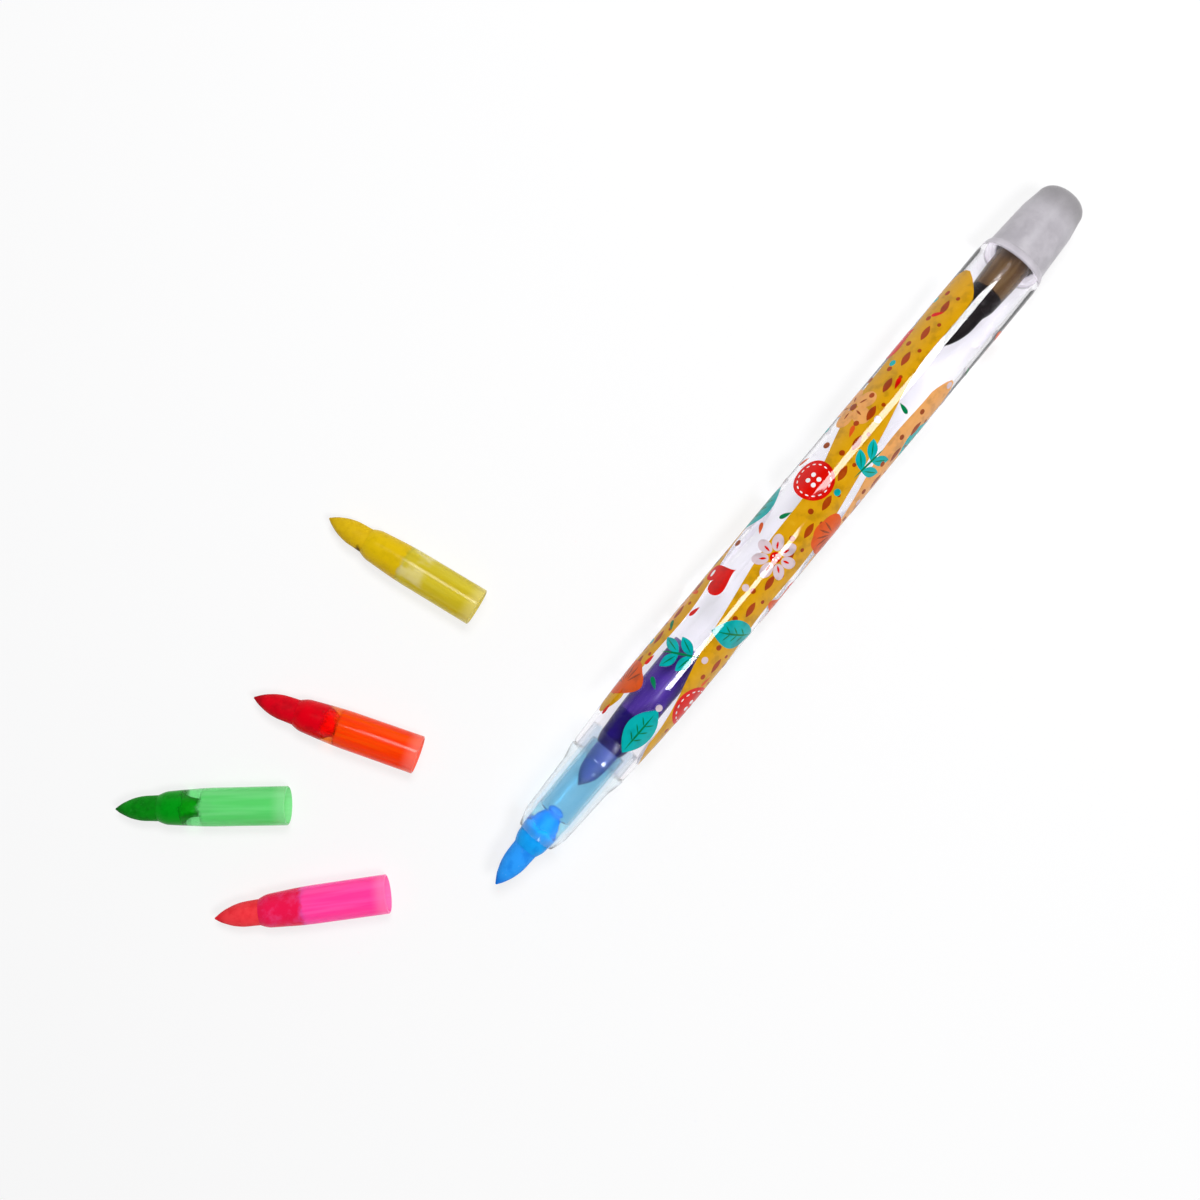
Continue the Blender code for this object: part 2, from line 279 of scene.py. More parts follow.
POINTS = {
    "blue": Point(
        "front_point",
        Wax((0.025, 0.34, 1.0), (0.004, 0.18, 0.76), (0.17, 0.46, 1.0)),
        Holder((0.52, 0.90, 0.97), (0.56, 0.79, 0.88), milk=0.05, glow=0.0, index=1.12),
        Skin(12.6, 0.4, (0.008, 0.37, 0.95), (0.003, 0.26, 0.82)),
        Root(13.2, finger=1.7, blob=1.5),
    ),
    "purple": Point(
        "second_point",
        Wax((0.026, 0.008, 0.28), (0.013, 0.003, 0.15), (0.07, 0.05, 0.36)),
        Holder((0.10, 0.03, 0.40), (0.11, 0.05, 0.36), milk=0.5, glow=0.02, index=1.2),
        Skin(18.0, 0.3, (0.006, 0.0, 0.085), (0.003, 0.0, 0.045)),
        Root(12.0, finger=0.9, blob=1.25),
    ),
    "black": Point(
        "tail_point",
        Wax((0.004, 0.002, 0.002), (0.002, 0.001, 0.001), (0.012, 0.009, 0.007)),
        Holder((0.20, 0.13, 0.06), (0.125, 0.072, 0.028), milk=0.7, glow=0.0, index=1.5, web=11.5),
        Skin(11.4, 0.05, (0.006, 0.004, 0.004), (0.003, 0.002, 0.002)),
        Root(11.2, finger=0.4, blob=0.4),
    ),
    "yellow": Point(
        "yellow_point",
        Wax((0.74, 0.48, 0.006), (0.55, 0.33, 0.004), (0.82, 0.62, 0.03), smudge=(7.5, 1.95, 0.6)),
        Holder((0.82, 0.70, 0.12), (0.68, 0.58, 0.045), milk=0.6, glow=0.10, index=1.3, block=0.7),
        Skin(18.0, 0.3, (0.72, 0.48, 0.004), (0.60, 0.40, 0.003)),
        Root(12.6, finger=1.5, blob=1.5, worn=0.4),
    ),
    "red": Point(
        "red_point",
        Wax((0.74, 0.0, 0.010), (0.40, 0.0, 0.006), (0.80, 0.01, 0.02)),
        Holder((0.90, 0.22, 0.03), (0.92, 0.10, 0.002), milk=0.6, glow=0.08, index=1.3),
        Skin(13.0, 0.7, (0.76, 0.0, 0.008), (0.58, 0.0, 0.006)),
        Root(13.2, finger=1.7, blob=1.2, worn=0.15),
    ),
    "green": Point(
        "green_point",
        Wax((0.002, 0.26, 0.006), (0.0, 0.10, 0.002), (0.05, 0.42, 0.07)),
        Holder((0.20, 0.80, 0.27), (0.22, 0.74, 0.28), milk=0.55, glow=0.10, index=1.3),
        Skin(12.4, 0.8, (0.001, 0.32, 0.008), (0.0, 0.22, 0.005)),
        Root(12.2, finger=1.3, blob=1.35, worn=0.4),
    ),
    "pink": Point(
        "pink_point",
        Wax((1.0, 0.05, 0.065), (0.82, 0.01, 0.025), (1.0, 0.18, 0.14)),
        Holder((0.97, 0.20, 0.45), (0.95, 0.11, 0.47), milk=0.6, glow=0.12, index=1.3),
        Skin(19.0, 0.6, (0.92, 0.010, 0.08), (0.93, 0.05, 0.20)),
        Root(13.2, finger=1.3, blob=1.2),
    ),
}


class Value:
    """A shader node's socket. Sums and products on it add Math nodes."""

    def __init__(self, nodes, socket):
        self.nodes = nodes
        self.socket = socket

    def maths(self, operation, first, second):
        return self.nodes.node("ShaderNodeMath", {"operation": operation}, {0: first, 1: second})

    def larger(self, other):
        return self.maths("MAXIMUM", self, other)

    def __add__(self, other):
        return self.maths("ADD", self, other)

    def __sub__(self, other):
        return self.maths("SUBTRACT", self, other)

    def __rsub__(self, other):
        return self.maths("SUBTRACT", other, self)

    def __mul__(self, other):
        return self.maths("MULTIPLY", self, other)

    __radd__ = __add__
    __rmul__ = __mul__


class Nodes:
    """The node tree of a material or a world. node() adds any node, and surface() puts a shader to use."""

    def __init__(self, owner, output):
        owner.use_nodes = True
        self.tree = owner.node_tree
        self.tree.nodes.clear()
        self.output = self.tree.nodes.new(output)

    def feed(self, socket, value):
        if isinstance(value, Value):
            self.tree.links.new(value.socket, socket)
        elif socket.type == "RGBA":
            socket.default_value = (*value, 1.0)
        else:
            socket.default_value = value

    def node(self, kind, settings, inputs, output=0):
        made = self.tree.nodes.new(kind)
        for key, value in settings.items():
            setattr(made, key, value)
        for key, value in inputs.items():
            self.feed(made.inputs[key], value)
        return Value(self, made.outputs[output])

    def surface(self, shader):
        self.feed(self.output.inputs["Surface"], shader)

    def blend(self, share, first, second):
        """Colour that goes from first to second as share goes from 0 to 1."""
        settings = {"data_type": "RGBA", "clamp_factor": True}
        return self.node("ShaderNodeMix", settings, {0: share, 6: first, 7: second}, 2)

    def seen(self):
        """1 for what the camera sees, straight or by way of gloss or glass, and 0 for all other light."""
        path = self.tree.nodes.new("ShaderNodeLightPath")
        kinds = ("Is Camera Ray", "Is Glossy Ray", "Is Transmission Ray")
        camera, gloss, glass = (Value(self, path.outputs[kind]) for kind in kinds)
        return camera.larger(gloss).larger(glass)


class Finish(Nodes):
    """A material. Its shader goes to done(), which gives the material back."""

    def __init__(self, name):
        self.material = bpy.data.materials.new(name)
        super().__init__(self.material, "ShaderNodeOutputMaterial")

    def done(self, shader):
        self.surface(shader)
        return self.material

    def skin(self, **sockets):
        """A Principled shader with the sockets given."""
        inputs = {name.replace("_", " "): value for name, value in sockets.items()}
        return self.node("ShaderNodeBsdfPrincipled", {}, inputs)

    def mix(self, share, first, second):
        """Shader that goes from first to second as share goes from 0 to 1."""
        return self.node("ShaderNodeMixShader", {}, {0: share, 1: first, 2: second})

    def lamp_lit(self, glass, tint, share=None):
        """Glass that lamps shine straight through, tinted once at each face that their rays cross.

        Share is how much of that light goes through, where it isn't all of it.
        """
        through = self.node("ShaderNodeLightPath", {}, {}, "Is Shadow Ray")
        if share is not None:
            through = through * share
        film = self.node("ShaderNodeBsdfTransparent", {}, {"Color": tint})
        return self.mix(through, glass, film)

    def place(self):
        return self.node("ShaderNodeTexCoord", {}, {}, "Object")

    def own_place(self):
        """Station and the two ways across, millimetres, which each turned piece carries on its corners."""
        return self.node("ShaderNodeAttribute", {"attribute_name": "own_place"}, {}, "Vector")

    def along(self):
        return self.node("ShaderNodeSeparateXYZ", {}, {0: self.own_place()}, "X")

    def off_axis(self):
        """Distance from the piece's axis, millimetres."""
        across = self.node("ShaderNodeMapping", {}, {"Vector": self.own_place(), "Scale": (0.0, 1.0, 1.0)})
        return self.node("ShaderNodeVectorMath", {"operation": "LENGTH"}, {0: across}, "Value")

    def mottle(self, per_metre, detail, rough):
        """Noise from 0 to 1 on the piece's place."""
        inputs = {"Vector": self.place(), "Scale": per_metre, "Detail": detail, "Roughness": rough}
        return self.node("ShaderNodeTexNoise", {}, inputs, "Fac")

    def streaks(self, per_millimetre, stretch=0.06):
        """Noise from 0 to 1 that is drawn out along the piece's axis."""
        shrink = {"Vector": self.own_place(), "Scale": (stretch, 1.0, 1.0)}
        drawn = self.node("ShaderNodeMapping", {}, shrink)
        inputs = {"Vector": drawn, "Scale": per_millimetre, "Detail": 2.0, "Roughness": 0.5}
        return self.node("ShaderNodeTexNoise", {}, inputs, "Fac")

    def band(self, value, low, high, bottom=0.0, top=1.0):
        """Value remapped from low..high to bottom..top, with soft ends."""
        settings = {"interpolation_type": "SMOOTHSTEP", "clamp": True}
        inputs = {"Value": value, "From Min": low, "From Max": high, "To Min": bottom, "To Max": top}
        return self.node("ShaderNodeMapRange", settings, inputs)

    def smudge(self, place, reach):
        """Share of a dark patch round a place on the piece's side, drawn out up and down, with a ragged
        edge.

        Reach is its half width along the piece, in millimetres.
        """
        drawn = Vector((1.0, 1.0, 0.3))
        here = self.node("ShaderNodeMapping", {}, {"Vector": self.own_place(), "Scale": drawn})
        ends = {0: here, 1: Vector(place) * drawn}
        apart = self.node("ShaderNodeVectorMath", {"operation": "DISTANCE"}, ends, "Value")
        ragged = apart + self.mottle(480.0, 4.0, 0.6) * 1.4 + self.mottle(1500.0, 5.0, 0.7) * 1.2
        return self.band(ragged, reach + 1.0, reach + 1.6, 0.85, 0.0)

    def bump(self, height, strength, distance):
        inputs = {"Height": height, "Strength": strength, "Distance": distance}
        return self.node("ShaderNodeBump", {}, inputs)


def satin(finish):
    """Frosted skin: fine grain, cloudy body, paler where the wall thickens, and painted shade round the end.

    The end wall inside the barrel has it too, paler still and glowing: painted light on a wall that stands
    in shade.
    """
    station = finish.along()
    grain = finish.mottle(9000.0, 2.0, 0.6)
    cloud = finish.mottle(330.0, 4.0, 0.6)
    step = finish.band(station, *THICK_START, 0.0, 0.3) * finish.band(station, *THICK_END, 1.0, 0.0)
    body = finish.blend(finish.band(cloud, 0.3, 0.7), (0.50, 0.475, 0.515), (0.62, 0.59, 0.635))
    body = finish.blend(step, body, (0.74, 0.715, 0.76))
    # Painted light: the end wall in the bore is made paler and glows, as if lit
    inside = finish.band(finish.off_axis(), BORE_RADIUS - 0.05, BORE_RADIUS + 0.01, 1.0, 0.0)
    inside = inside * finish.band(station, FUNNEL_END - 0.3, FUNNEL_END, 1.0, 0.0)
    body = finish.blend(inside, body, (0.92, 0.89, 0.94))
    # Painted shade: the cap darkens towards its rounded end
    rim = finish.band(station, *PAINTED_END_SHADE, 0.0, 0.72)
    return finish.skin(
        Base_Color=finish.blend(rim, body, (0.25, 0.24, 0.245)),
        Roughness=finish.band(grain, 0.2, 0.8, 0.26, 0.4),
        Transmission_Weight=0.2,
        IOR=POLYPROPYLENE_INDEX,
        # Painted light: only that end wall glows
        Emission_Color=finish.blend(inside, (0.0, 0.0, 0.0), (0.92, 0.88, 0.95)),
        Emission_Strength=0.45,
        Normal=finish.bump(grain, 0.2, 0.00002),
    )


def clear_plastic(name, deep, thin, polish, film):
    """Clear polystyrene: a faint cast, flow lines, uneven polish, and a ground end under the cap.

    Film is the tint of lamp light that goes straight through a face.
    """
    finish = Finish(name)
    flow = finish.streaks(0.22, 0.12)
    haze = finish.mottle(900.0, 4.0, 0.6)
    polished = finish.skin(
        Base_Color=finish.blend(haze, deep, thin),
        Roughness=finish.band(haze, 0.45, 0.8, *polish),
        Transmission_Weight=1.0,
        IOR=POLYSTYRENE_INDEX,
        Normal=finish.bump(flow, 0.05, 0.0001),
    )
    polished = finish.lamp_lit(polished, film, finish.band(finish.along(), *LIP_EDGE, 0.3, 1.0))
    return finish.done(finish.mix(finish.band(finish.along(), *GROUND_EDGE), polished, satin(finish)))


def frosted_plastic():
    finish = Finish("frosted_polypropylene")
    return finish.done(satin(finish))


def tinted_plastic(name, holder, skin):
    """Dyed holder: wax against its skin in front, see-through down to the socket, then a milky sleeve.

    The sleeve is paler at its thin rim, and has a painted highlight, a pale ragged patch, just behind the
    web.
    """
    finish = Finish(name + "_tinted_plastic")
    station = finish.along()
    flow = finish.mottle(420.0, 3.0, 0.5)
    cloud = finish.mottle(620.0, 4.0, 0.6)
    bump = finish.bump(flow, 0.12, 0.0001)
    ragged = station + cloud * (4.0 * skin.ragged) - 2.0 * skin.ragged
    waxy = finish.skin(
        Base_Color=finish.blend(finish.band(cloud, 0.45, 0.7, 0.0, 0.7), skin.body, skin.mottled),
        Roughness=finish.band(flow, 0.3, 0.7, 0.15, 0.3),
        Specular_IOR_Level=0.08,
        Normal=bump,
    )
    clear = finish.skin(
        Base_Color=finish.blend(finish.band(cloud, 0.35, 0.65, 0.0, 0.35), holder.front, holder.sleeve),
        Roughness=finish.band(flow, 0.3, 0.7, 0.04, 0.12),
        Transmission_Weight=1.0,
        IOR=holder.index,
        Normal=bump,
    )
    deep = tuple(channel ** 1.25 for channel in holder.sleeve)
    pale = tuple(0.66 * channel + 0.34 for channel in holder.sleeve)
    dye = finish.blend(finish.band(finish.streaks(0.9), 0.35, 0.65), deep, holder.sleeve)
    dye = finish.blend(finish.band(station, *RIM_EDGE, 0.0, 0.4), dye, pale)
    # Painted highlight: a pale ragged patch in the sleeve just behind the web
    lump = station + cloud * 2.0
    block = finish.band(lump, *HIGHLIGHT_START, 0.0, holder.block) * finish.band(lump, *HIGHLIGHT_END, 1.0, 0.0)
    dye = finish.blend(block * finish.band(finish.streaks(0.35, 0.7), 0.42, 0.6), dye, pale)
    milky = finish.skin(
        Base_Color=dye,
        Roughness=finish.band(flow, 0.3, 0.7, 0.12, 0.2),
        Transmission_Weight=1.0 - holder.milk,
        IOR=holder.index,
        Specular_IOR_Level=0.2,
        # Painted light in part: the sleeve glows beyond its dye's fluorescence, for light lost inside it
        Emission_Color=dye,
        Emission_Strength=holder.glow,
        Normal=bump,
    )
    clear = finish.lamp_lit(clear, tuple(channel ** 0.5 for channel in holder.front))
    milky = finish.lamp_lit(milky, tuple((1.0 - holder.milk) * channel ** 0.5 for channel in holder.sleeve))
    bare = finish.band(ragged, skin.end - skin.ragged, skin.end + skin.ragged)
    behind = finish.band(ragged, holder.web - skin.ragged, holder.web + skin.ragged)
    return finish.done(finish.mix(behind, finish.mix(bare, waxy, clear), milky))


def cast_wax(name, wax):
    """Cast wax: mottled body, painted shade at the tip, pale scuffs, soft sheen, and a smudge at a place on
    its side.
    """
    finish = Finish(name + "_wax")
    station = finish.along()
    cloud = finish.mottle(480.0, 4.0, 0.6)
    scuff = finish.mottle(1500.0, 5.0, 0.7)
    pits = finish.mottle(4200.0, 3.0, 0.6)
    # Painted shade: the wax darkens towards its tip, where the ogive turns away from the light
    tip = finish.band(station, *TIP_SHADE_EDGE, 0.85, 0.0)
    shade = finish.band(cloud, 0.42, 0.72)
    scuffed = finish.band(scuff, 0.58, 0.74, 0.0, 0.4)
    colour = finish.blend(shade * 0.55, wax.body, wax.dark)
    colour = finish.blend(tip, colour, wax.dark)
    colour = finish.blend(scuffed, colour, wax.pale)
    if wax.smudge:
        colour = finish.blend(finish.smudge(wax.smudge, SMUDGE_REACH), colour, SMUDGE_COLOUR)
    return finish.done(finish.skin(
        Base_Color=colour,
        Roughness=finish.band(scuff, 0.3, 0.7, 0.4, 0.65),
        Specular_IOR_Level=0.06,
        Normal=finish.bump(pits, 0.3, 0.00006),
    ))


def ink(name, body, worn):
    """Screen-printed film under varnish: an opaque colour with fine grain, rich and thin spots."""
    finish = Finish(name + "_ink")
    grain = finish.mottle(5200.0, 3.0, 0.6)
    cover = finish.mottle(520.0, 3.0, 0.5)
    rich = tuple(0.66 * channel for channel in body)
    colour = finish.blend(finish.band(cover, 0.3, 0.52, 0.7, 0.0), body, rich)
    colour = finish.blend(finish.band(cover, 0.55, 0.8, 0.0, 0.45), colour, worn)
    return finish.done(finish.skin(
        Base_Color=finish.blend(finish.band(grain, 0.6, 0.75, 0.0, 0.2), colour, worn),
        Roughness=finish.band(grain, 0.3, 0.7, 0.3, 0.45),
        Specular_IOR_Level=0.0,
        Coat_Weight=finish.band(cover, 0.3, 0.7, 0.75, 0.6),
    ))


def undercoat():
    """White base coat under the colours, seen from behind through the clear wall. It glows a little: painted
    light where the barrel shades it.
    """
    finish = Finish("white_undercoat_painted_glow")
    cover = finish.mottle(700.0, 3.0, 0.5)
    white = finish.blend(finish.band(cover, 0.3, 0.7), (0.84, 0.82, 0.86), (0.93, 0.92, 0.94))
    return finish.done(finish.skin(
        Base_Color=white,
        Roughness=finish.band(cover, 0.3, 0.7, 0.45, 0.6),
        # Painted light: the undercoat glows, though it is no lamp
        Emission_Color=white,
        Emission_Strength=0.3,
    ))


def ellipse_arc(centre, radii, start, end, steps):
    """Points on an ellipse round centre (station, radius); 180 degrees is its front, 90 its outside."""
    points = []
    for step in range(steps + 1):
        angle = math.radians(start + (end - start) * step / steps)
        station = centre[0] + radii[0] * math.cos(angle)
        points.append((station, centre[1] + radii[1] * math.sin(angle)))
    return points


def corners(node):
    """Each corner of a CAD node once, because its triangles are loose."""
    return {vert.co.copy().freeze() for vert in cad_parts[node].data.vertices}


def middle(points):
    return sum(points, Vector()) / len(points)


def point_place(colour):
    """Matrix of a point: origin at its tip, +X towards where it points, +Z up."""
    crayon = corners(colour + "_crayon")
    centre = middle(crayon)
    heading = (centre - middle(corners(colour + "_holder"))).normalized()
    reach = max((corner - centre).dot(heading) for corner in crayon)
    turn = heading.to_track_quat("X", "Z").to_matrix().to_4x4()
    return Matrix.Translation(centre + heading * reach) @ turn


def spun(profile, seat, sides):
    """Closed solid from a profile spun round X. A profile that starts off the axis is a ring's outline."""
    shape = bmesh.new()
    verts = [shape.verts.new((-station * MM, 0.0, radius * MM * seat)) for station, radius in profile]
    edges = [shape.edges.new(pair) for pair in zip(verts, verts[1:])]
    if profile[0][1] > 0.0:
        edges.append(shape.edges.new((verts[-1], verts[0])))
    bmesh.ops.spin(
        shape,
        geom=verts + edges,
        cent=(0.0, 0.0, 0.0),
        axis=(1.0, 0.0, 0.0),
        angle=math.tau,
        steps=sides,
        use_merge=True,
    )
    bmesh.ops.remove_doubles(shape, verts=shape.verts, dist=WELD)
    bmesh.ops.recalc_face_normals(shape, faces=shape.faces)
    return shape


def finished(name, shape, place, material, body, stands_for=None):
    """Object from a bmesh: own places kept on its corners, put in place, shaded, riding on its body."""
    layer = shape.verts.layers.float_vector.new("own_place")
    for vert in shape.verts:
        vert[layer] = Vector((-vert.co.x, vert.co.y, vert.co.z)) / MM
    bmesh.ops.transform(shape, matrix=place, verts=shape.verts)
    mesh = bpy.data.meshes.new(name)
    shape.to_mesh(mesh)
    shape.free()
    mesh.materials.append(material)
    mesh.shade_smooth()
    mesh.set_sharp_from_angle(angle=SHARP_ANGLE)
    piece = bpy.data.objects.new(name, mesh)
    bpy.context.collection.objects.link(piece)
    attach(piece, body)
    if stands_for:
        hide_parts(stands_for)
    return piece


def barrel_outside(station):
    """Outer radius of the barrel at a station of its grip or straight body."""
    share = min(max((station - GRIP_START) / GRIP_LENGTH, 0.0), 1.0)
    swell = share * (1.5 - 0.5 * share)
    return MOUTH_RADIUS + (BARREL_RADIUS - MOUTH_RADIUS) * swell - INK_ROOM


def barrel_profile():
    grip = [GRIP_START + GRIP_LENGTH * step / GRIP_STEPS for step in range(1, GRIP_STEPS + 1)]
    mouth = (GRIP_START, barrel_outside(GRIP_START) - EDGE_ROUND)
    fall = BARREL_RADIUS - SHOULDER_RADIUS - INK_ROOM
    return [
        (BARREL_START, SPIGOT_SOCKET_RADIUS),
        *ellipse_arc(mouth, (EDGE_ROUND, EDGE_ROUND), 180, 90, 5),
        *[(station, barrel_outside(station)) for station in grip],
        *ellipse_arc((ROUND_START, SHOULDER_RADIUS), (SHOULDER - ROUND_START, fall), 90, 0, 14),
        (SHOULDER, NECK_RADIUS),
        (NECK_END - EDGE_ROUND, NECK_RADIUS),
        (NECK_END, NECK_RADIUS - EDGE_ROUND),
        (NECK_END, GUIDE_RADIUS),
        (FUNNEL_END, GUIDE_RADIUS),
        (END_WALL, FUNNEL_RADIUS),
        *ellipse_arc((END_WALL - EDGE_ROUND, BORE_RADIUS - EDGE_ROUND), (EDGE_ROUND, EDGE_ROUND), 0, 90, 4),
        (GRIP_START + GRIP_LENGTH, BORE_RADIUS),
        (SPIGOT_SOCKET_END, SPIGOT_SOCKET_RADIUS),
    ]


def nose_profile():
    flare = []
    for step in range(1, FLARE_STEPS + 1):
        share = step / FLARE_STEPS
        swell = (1 - math.cos(math.pi * share)) / 2
        flare.append((FLANK_END + FLARE_LENGTH * share, FLANK_RADIUS + FLARE_RISE * swell))
    return [
        *NOSE_LIP,
        (FLANK_END, FLANK_RADIUS),
        *flare,
        (FLANK_END + FLARE_LENGTH, SPIGOT_RADIUS),
        (SPIGOT_END, SPIGOT_RADIUS),
        (SPIGOT_END, CAVITY_RADIUS),
        (CAVITY_START, CAVITY_RADIUS),
        (NOSE_GUIDE_END, GUIDE_RADIUS),
    ]


def cap_profile():
    crown = (CAP_END - CAP_FLOOR, CROWN_RADIUS - CAP_FLAT_RADIUS)
    return [
        (CAP_FLOOR, 0.0),
        (CAP_FLOOR, GUIDE_RADIUS),
        (CAP_SOCKET_END, GUIDE_RADIUS),
        (CAP_SOCKET_END, CAP_SOCKET_RADIUS),
        (CAP_START, CAP_SOCKET_RADIUS),
        (CAP_START, SHOULDER_RADIUS),
        (CAP_TAPER_END, CAP_TAPER_RADIUS),
        *ellipse_arc((CAP_FLOOR, CAP_FLAT_RADIUS), crown, 90, 0, 20),
        (CAP_END, 0.0),
    ]


def holder_profile():
    """Solid front with the crayon cast into it, sleeve, and the socket for the next point."""
    rim = (SLEEVE_END - EDGE_ROUND, SLEEVE_RADIUS - EDGE_ROUND)
    return [
        *COLLAR,
        *ellipse_arc(rim, (EDGE_ROUND, EDGE_ROUND), 90, 0, 5),
        (SLEEVE_END, SLEEVE_MOUTH_RADIUS),
        (SLEEVE_MOUTH, SLEEVE_MOUTH_RADIUS),
        (SLEEVE_MOUTH, SOCKET_RADIUS),
        (SOCKET_FLOOR + SOCKET_CHAMFER, SOCKET_RADIUS),
        (SOCKET_FLOOR, SOCKET_RADIUS - SOCKET_CHAMFER),
        (SOCKET_FLOOR, 0.0),
    ]


def crayon_profile(root):
    """Ogive with a worn tip, root cast in the holder, finger through its web and a blob behind that."""
    rise = OGIVE_RADIUS - TIP_RADIUS
    sweep = (rise ** 2 + OGIVE_LENGTH ** 2) / (2 * rise)
    tip = [(root.worn, 0.0)]
    for step in range(OGIVE_STEPS + 1):
        back = OGIVE_LENGTH * (step / OGIVE_STEPS) ** 1.6
        radius = OGIVE_RADIUS - sweep + math.sqrt(sweep ** 2 - (OGIVE_LENGTH - back) ** 2)
        tip.append((root.worn + back * (1 - root.worn / OGIVE_LENGTH), radius))
    return [
        *tip,
        *GROOVE,
        (ROOT_START, ROOT_RADIUS),
        (root.end - 0.6, ROOT_RADIUS),
        (root.end - 0.1, OGIVE_RADIUS),
        (root.end + 0.5, root.finger * 1.25),
        (root.end + 1.3, root.finger),
        (FINGER_END, root.finger * 0.9),
        (BLOB_START, root.blob * 0.8),
        *ellipse_arc((BLOB_MIDDLE, 0.0), (BLOB_LENGTH, root.blob), 90, 0, 6),
    ]


def leaf(corner):
    """Circle to a leaf with two points."""
    return Vector((corner.x, corner.y * abs(corner.y), 0.0))


def drop(corner):
    """Circle to a drop with its point at +X."""
    return Vector((corner.x, corner.y * (0.5 - 0.5 * corner.x) ** 0.6, 0.0))


def heart(corner):
    """Circle to a heart with its point at -Y."""
    angle = math.atan2(corner.x, corner.y)
    lobes = 13 * math.cos(angle) - 5 * math.cos(2 * angle) - 2 * math.cos(3 * angle) - math.cos(4 * angle)
    return Vector((16 * math.sin(angle) ** 3 / 17, lobes / 17, 0.0))


def star(corner):
    """Circle to a star with five soft points."""
    angle = math.atan2(corner.x, corner.y)
    return corner * (0.56 + 0.44 * (0.5 + 0.5 * math.cos(5 * angle)) ** 1.3)


def shell(corner):
    """Circle to a half round with a scalloped edge on +Y."""
    if corner.y < 0:
        return Vector((corner.x * 0.96, corner.y * 0.3, 0.0))
    angle = math.atan2(corner.x, corner.y)
    return corner * (0.95 + 0.05 * abs(math.cos(4.5 * angle)))


